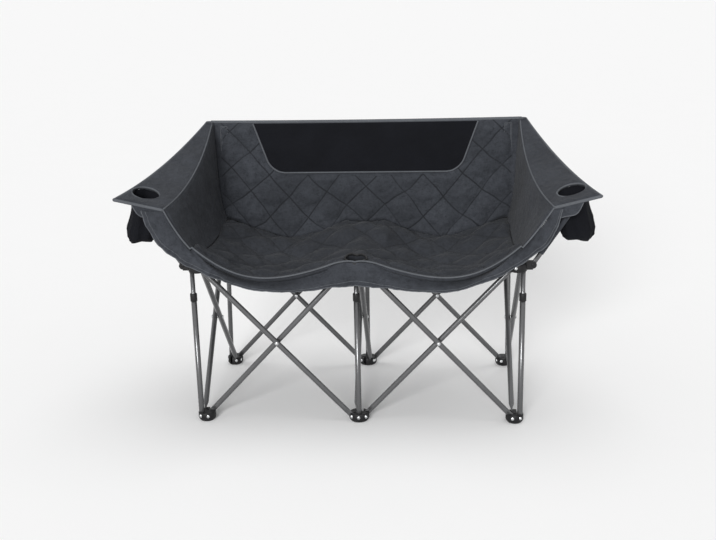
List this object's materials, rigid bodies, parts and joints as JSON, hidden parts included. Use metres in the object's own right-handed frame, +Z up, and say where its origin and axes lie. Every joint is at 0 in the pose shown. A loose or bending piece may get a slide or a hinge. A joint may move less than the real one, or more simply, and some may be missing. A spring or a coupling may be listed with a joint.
{
  "type": "folding camping loveseat",
  "caption": "Folding camping loveseat: a scissor tube frame on plastic feet carries a quilted bucket seat with a mesh window, padded arms and mesh drink pockets.",
  "frame": {"origin": "on the ground, in the middle of the whole chair's width and depth", "axes": "+X to the right of someone facing the chair from the front, +Y from the front to the backrest, +Z up"},
  "size_m": [1.4508, 0.6372, 0.877],
  "materials": {
    "plastic": "fine matt moulded black",
    "tube": "satin grey powder coat",
    "rivet": "bright steel",
    "fabric": "matt woven slate grey polyester, quilted over padding",
    "mesh": "black knitted mesh"
  },
  "bodies": {
    "front_centre": {"front_centre_foot": "plastic", "front_centre_outer_post": "tube", "front_centre_post_collar": "plastic"},
    "front_left_foot": {"front_left_foot": "plastic", "front_left_outer_post": "tube", "front_left_post_collar": "plastic"},
    "front_left_hub": {"front_left_hub": "plastic", "front_left_inner_post": "tube"},
    "rear_left_foot": {"rear_left_foot": "plastic"},
    "rear_left_hub": {"rear_left_hub": "plastic"},
    "front_left_inner_tube": {"front_left_cross_tube_falling": "tube", "front_left_cross_pin": "rivet"},
    "front_left_outer_tube": {"front_left_cross_tube_rising": "tube"},
    "front_right_foot": {"front_right_foot": "plastic", "front_right_outer_post": "tube", "front_right_post_collar": "plastic"},
    "front_right_hub": {"front_right_hub": "plastic", "front_right_inner_post": "tube"},
    "rear_right_foot": {"rear_right_foot": "plastic"},
    "rear_right_hub": {"rear_right_hub": "plastic"},
    "front_right_inner_tube": {"front_right_cross_tube_rising": "tube", "front_right_cross_pin": "rivet"},
    "front_right_outer_tube": {"front_right_cross_tube_falling": "tube"},
    "centre_rising_tube": {"centre_side_cross_tube_rising": "tube", "centre_side_cross_pin": "rivet"},
    "centre_falling_tube": {"centre_side_cross_tube_falling": "tube"},
    "rear_centre_foot": {"rear_centre_foot": "plastic"},
    "rear_centre_hub": {"rear_centre_hub": "plastic"},
    "front_centre_hub": {"front_centre_hub": "plastic", "front_centre_inner_post": "tube", "front_flap": "fabric"},
    "rear_left_inner_tube": {"rear_left_cross_tube_falling": "tube", "rear_left_cross_pin": "rivet"},
    "rear_left_outer_tube": {"rear_left_cross_tube_rising": "tube"},
    "left_side_rising_tube": {"left_side_cross_tube_rising": "tube", "left_side_cross_pin": "rivet"},
    "left_side_falling_tube": {"left_side_cross_tube_falling": "tube"},
    "left_arm": {"left_arm_support": "tube", "left_arm_pad": "fabric", "left_cup_pocket": "mesh"},
    "rear_right_inner_tube": {"rear_right_cross_tube_rising": "tube", "rear_right_cross_pin": "rivet"},
    "rear_right_outer_tube": {"rear_right_cross_tube_falling": "tube"},
    "right_side_rising_tube": {"right_side_cross_tube_rising": "tube", "right_side_cross_pin": "rivet"},
    "right_side_falling_tube": {"right_side_cross_tube_falling": "tube"},
    "right_arm": {"right_arm_support": "tube", "right_arm_pad": "fabric", "right_cup_pocket": "mesh"},
    "left_back_post": {"left_back_post": "tube"},
    "centre_back_post": {"centre_back_post": "tube", "backrest_pad": "fabric", "backrest_mesh_window": "mesh"},
    "right_back_post": {"right_back_post": "tube"},
    "seat_front": {"seat_front_pad": "fabric"},
    "seat_rear": {"seat_rear_pad": "fabric"}
  },
  "joints": [
    {"name": "main_fold", "type": "hinge", "parent": "front_centre", "child": "front_left_inner_tube", "pos_m": [-0.022, -0.27739, 0.018], "axis": [0, 1, 0], "range_deg": [0, 38.9]},
    {"name": "front_left_cross_fold", "type": "hinge", "parent": "front_left_inner_tube", "child": "front_left_outer_tube", "pos_m": [-0.252, -0.27739, 0.2625], "axis": [0, 1, 0], "range_deg": [-77.8, 0]},
    {"name": "front_left_foot_level", "type": "hinge", "parent": "front_left_outer_tube", "child": "front_left_foot", "pos_m": [-0.482, -0.27739, 0.018], "axis": [0, 1, 0], "range_deg": [0, 38.9]},
    {"name": "front_left_hub_level", "type": "hinge", "parent": "front_left_inner_tube", "child": "front_left_hub", "pos_m": [-0.482, -0.27739, 0.507], "axis": [0, 1, 0], "range_deg": [-38.9, 0]},
    {"name": "front_right_inner_tube_fold", "type": "hinge", "parent": "front_centre", "child": "front_right_inner_tube", "pos_m": [0.022, -0.27739, 0.018], "axis": [0, 1, 0], "range_deg": [-38.9, 0]},
    {"name": "front_right_cross_fold", "type": "hinge", "parent": "front_right_inner_tube", "child": "front_right_outer_tube", "pos_m": [0.252, -0.27739, 0.2625], "axis": [0, 1, 0], "range_deg": [0, 77.8]},
    {"name": "front_right_foot_level", "type": "hinge", "parent": "front_right_outer_tube", "child": "front_right_foot", "pos_m": [0.482, -0.27739, 0.018], "axis": [0, 1, 0], "range_deg": [-38.9, 0]},
    {"name": "front_right_hub_level", "type": "hinge", "parent": "front_right_inner_tube", "child": "front_right_hub", "pos_m": [0.482, -0.27739, 0.507], "axis": [0, 1, 0], "range_deg": [0, 38.9]},
    {"name": "centre_side_rising_fold", "type": "hinge", "parent": "front_centre", "child": "centre_rising_tube", "pos_m": [0, -0.26239, 0.018], "axis": [1, 0, 0], "range_deg": [0, 38.9]},
    {"name": "centre_side_cross_fold", "type": "hinge", "parent": "centre_rising_tube", "child": "centre_falling_tube", "pos_m": [0, -0.03239, 0.2625], "axis": [1, 0, 0], "range_deg": [-77.8, 0]},
    {"name": "rear_centre_foot_level", "type": "hinge", "parent": "centre_falling_tube", "child": "rear_centre_foot", "pos_m": [0, 0.19761, 0.018], "axis": [1, 0, 0], "range_deg": [0, 38.9]},
    {"name": "rear_centre_hub_level", "type": "hinge", "parent": "centre_rising_tube", "child": "rear_centre_hub", "pos_m": [0, 0.19761, 0.507], "axis": [1, 0, 0], "range_deg": [-38.9, 0]},
    {"name": "front_centre_hub_level", "type": "hinge", "parent": "centre_falling_tube", "child": "front_centre_hub", "pos_m": [0, -0.26239, 0.507], "axis": [1, 0, 0], "range_deg": [0, 38.9], "deforming": ["front_flap"]},
    {"name": "rear_left_inner_tube_fold", "type": "hinge", "parent": "rear_centre_foot", "child": "rear_left_inner_tube", "pos_m": [-0.022, 0.21261, 0.018], "axis": [0, 1, 0], "range_deg": [0, 38.9]},
    {"name": "rear_left_cross_fold", "type": "hinge", "parent": "rear_left_inner_tube", "child": "rear_left_outer_tube", "pos_m": [-0.252, 0.21261, 0.2625], "axis": [0, 1, 0], "range_deg": [-77.8, 0]},
    {"name": "rear_left_foot_level", "type": "hinge", "parent": "rear_left_outer_tube", "child": "rear_left_foot", "pos_m": [-0.482, 0.21261, 0.018], "axis": [0, 1, 0], "range_deg": [0, 38.9]},
    {"name": "rear_left_hub_level", "type": "hinge", "parent": "rear_left_inner_tube", "child": "rear_left_hub", "pos_m": [-0.482, 0.21261, 0.507], "axis": [0, 1, 0], "range_deg": [-38.9, 0]},
    {"name": "left_side_rising_fold", "type": "hinge", "parent": "front_left_foot", "child": "left_side_rising_tube", "pos_m": [-0.492, -0.26239, 0.018], "axis": [1, 0, 0], "range_deg": [0, 38.9]},
    {"name": "left_side_cross_fold", "type": "hinge", "parent": "left_side_rising_tube", "child": "left_side_falling_tube", "pos_m": [-0.492, -0.03239, 0.2625], "axis": [1, 0, 0], "range_deg": [-77.8, 0]},
    {"name": "left_arm_fold", "type": "hinge", "parent": "front_left_hub", "child": "left_arm", "pos_m": [-0.534, -0.27739, 0.513], "axis": [0, 1, 0], "range_deg": [0, 36.57], "deforming": ["left_arm_pad", "left_cup_pocket"]},
    {"name": "rear_right_inner_tube_fold", "type": "hinge", "parent": "rear_centre_foot", "child": "rear_right_inner_tube", "pos_m": [0.022, 0.21261, 0.018], "axis": [0, 1, 0], "range_deg": [-38.9, 0]},
    {"name": "rear_right_cross_fold", "type": "hinge", "parent": "rear_right_inner_tube", "child": "rear_right_outer_tube", "pos_m": [0.252, 0.21261, 0.2625], "axis": [0, 1, 0], "range_deg": [0, 77.8]},
    {"name": "rear_right_foot_level", "type": "hinge", "parent": "rear_right_outer_tube", "child": "rear_right_foot", "pos_m": [0.482, 0.21261, 0.018], "axis": [0, 1, 0], "range_deg": [-38.9, 0]},
    {"name": "rear_right_hub_level", "type": "hinge", "parent": "rear_right_inner_tube", "child": "rear_right_hub", "pos_m": [0.482, 0.21261, 0.507], "axis": [0, 1, 0], "range_deg": [0, 38.9]},
    {"name": "right_side_rising_fold", "type": "hinge", "parent": "front_right_foot", "child": "right_side_rising_tube", "pos_m": [0.492, -0.26239, 0.018], "axis": [1, 0, 0], "range_deg": [0, 38.9]},
    {"name": "right_side_cross_fold", "type": "hinge", "parent": "right_side_rising_tube", "child": "right_side_falling_tube", "pos_m": [0.492, -0.03239, 0.2625], "axis": [1, 0, 0], "range_deg": [-77.8, 0]},
    {"name": "right_arm_fold", "type": "hinge", "parent": "front_right_hub", "child": "right_arm", "pos_m": [0.534, -0.27739, 0.513], "axis": [0, 1, 0], "range_deg": [-36.57, 0], "deforming": ["right_arm_pad", "right_cup_pocket"]},
    {"name": "left_back_post_tilt", "type": "hinge", "parent": "rear_left_foot", "child": "left_back_post", "pos_m": [-0.506, 0.22061, 0.018], "axis": [1, 0, 0], "range_deg": [0, 1.83]},
    {"name": "centre_back_post_tilt", "type": "hinge", "parent": "rear_centre_foot", "child": "centre_back_post", "pos_m": [0, 0.22061, 0.018], "axis": [1, 0, 0], "range_deg": [0, 1.83], "deforming": ["backrest_pad", "backrest_mesh_window"]},
    {"name": "right_back_post_tilt", "type": "hinge", "parent": "rear_right_foot", "child": "right_back_post", "pos_m": [0.506, 0.22061, 0.018], "axis": [1, 0, 0], "range_deg": [0, 1.83]},
    {"name": "seat_front_drop", "type": "hinge", "parent": "front_centre_hub", "child": "seat_front", "pos_m": [0, -0.28239, 0.516], "axis": [1, 0, 0], "range_deg": [-81.3, 0], "deforming": ["seat_front_pad"]},
    {"name": "seat_rear_drop", "type": "hinge", "parent": "rear_centre_hub", "child": "seat_rear", "pos_m": [0, 0.25161, 0.523], "axis": [1, 0, 0], "range_deg": [0, 81.3], "deforming": ["seat_rear_pad"]}
  ],
  "couplings": [
    {"joint": "front_left_cross_fold", "follows": "main_fold", "ratio": -2},
    {"joint": "front_left_foot_level", "follows": "main_fold", "ratio": 1},
    {"joint": "front_left_hub_level", "follows": "main_fold", "ratio": -1},
    {"joint": "front_right_inner_tube_fold", "follows": "main_fold", "ratio": -1},
    {"joint": "front_right_cross_fold", "follows": "main_fold", "ratio": 2},
    {"joint": "front_right_foot_level", "follows": "main_fold", "ratio": -1},
    {"joint": "front_right_hub_level", "follows": "main_fold", "ratio": 1},
    {"joint": "centre_side_rising_fold", "follows": "main_fold", "ratio": 1},
    {"joint": "centre_side_cross_fold", "follows": "main_fold", "ratio": -2},
    {"joint": "rear_centre_foot_level", "follows": "main_fold", "ratio": 1},
    {"joint": "rear_centre_hub_level", "follows": "main_fold", "ratio": -1},
    {"joint": "front_centre_hub_level", "follows": "main_fold", "ratio": 1},
    {"joint": "rear_left_inner_tube_fold", "follows": "main_fold", "ratio": 1},
    {"joint": "rear_left_cross_fold", "follows": "main_fold", "ratio": -2},
    {"joint": "rear_left_foot_level", "follows": "main_fold", "ratio": 1},
    {"joint": "rear_left_hub_level", "follows": "main_fold", "ratio": -1},
    {"joint": "left_side_rising_fold", "follows": "main_fold", "ratio": 1},
    {"joint": "left_side_cross_fold", "follows": "main_fold", "ratio": -2},
    {"joint": "left_arm_fold", "follows": "main_fold", "ratio": 0.94},
    {"joint": "rear_right_inner_tube_fold", "follows": "main_fold", "ratio": -1},
    {"joint": "rear_right_cross_fold", "follows": "main_fold", "ratio": 2},
    {"joint": "rear_right_foot_level", "follows": "main_fold", "ratio": -1},
    {"joint": "rear_right_hub_level", "follows": "main_fold", "ratio": 1},
    {"joint": "right_side_rising_fold", "follows": "main_fold", "ratio": 1},
    {"joint": "right_side_cross_fold", "follows": "main_fold", "ratio": -2},
    {"joint": "right_arm_fold", "follows": "main_fold", "ratio": -0.94},
    {"joint": "left_back_post_tilt", "follows": "main_fold", "ratio": 0.047},
    {"joint": "centre_back_post_tilt", "follows": "main_fold", "ratio": 0.047},
    {"joint": "right_back_post_tilt", "follows": "main_fold", "ratio": 0.047},
    {"joint": "seat_front_drop", "follows": "main_fold", "ratio": -2.09},
    {"joint": "seat_rear_drop", "follows": "main_fold", "ratio": 2.09}
  ]
}
